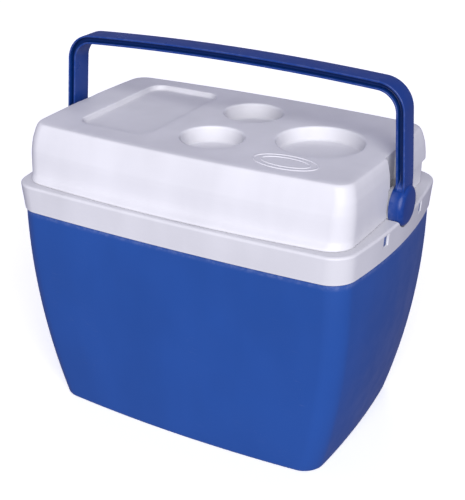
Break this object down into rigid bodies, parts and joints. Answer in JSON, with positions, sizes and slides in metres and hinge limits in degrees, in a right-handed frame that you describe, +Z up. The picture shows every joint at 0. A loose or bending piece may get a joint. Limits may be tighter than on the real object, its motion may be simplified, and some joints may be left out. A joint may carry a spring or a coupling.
{
  "type": "cooler chest",
  "caption": "Insulated hard cooler chest: tapered blue body, white collar and lift-off lid with drink wells and a tray, and an upright swinging bail handle.",
  "frame": {"origin": "centre of the footprint, on the plane that the base stands on", "axes": "+X along the length to the right end, -Y out of the front, +Z up"},
  "size_m": [0.463, 0.298, 0.4584],
  "materials": {
    "shell_blue": "satin moulded polypropylene, saturated mid blue",
    "handle_blue": "satin moulded polypropylene, slightly deeper blue",
    "rim_white": "smooth moulded polypropylene, cool white",
    "tub_white": "smooth moulded polypropylene, white",
    "lid_white": "smooth moulded polypropylene, cool white with a fine matt top",
    "plug_white": "smooth moulded polypropylene, white",
    "body_foam": "expanded polystyrene, white and beaded",
    "lid_foam": "expanded polystyrene, white and beaded",
    "clip_grey": "plain moulded nylon, light grey"
  },
  "bodies": {
    "body": {"outer_shell": "shell_blue", "body_insulation": "body_foam", "inner_tub": "tub_white", "collar": "rim_white"},
    "bail": {"handle": "handle_blue", "pivot_clip_left": "clip_grey", "pivot_clip_right": "clip_grey"},
    "lid": {"lid_top": "lid_white", "lid_insulation": "lid_foam", "lid_plug": "plug_white"}
  },
  "joints": [
    {"name": "handle_swing", "type": "hinge", "parent": "body", "child": "bail", "pos_m": [0, 0, 0.312], "axis": [1, 0, 0], "range_deg": [-82, 82]},
    {"name": "lid_lift", "type": "slide", "parent": "body", "child": "lid", "axis": [0, 0, 1], "range_m": [0, 0.06]}
  ]
}
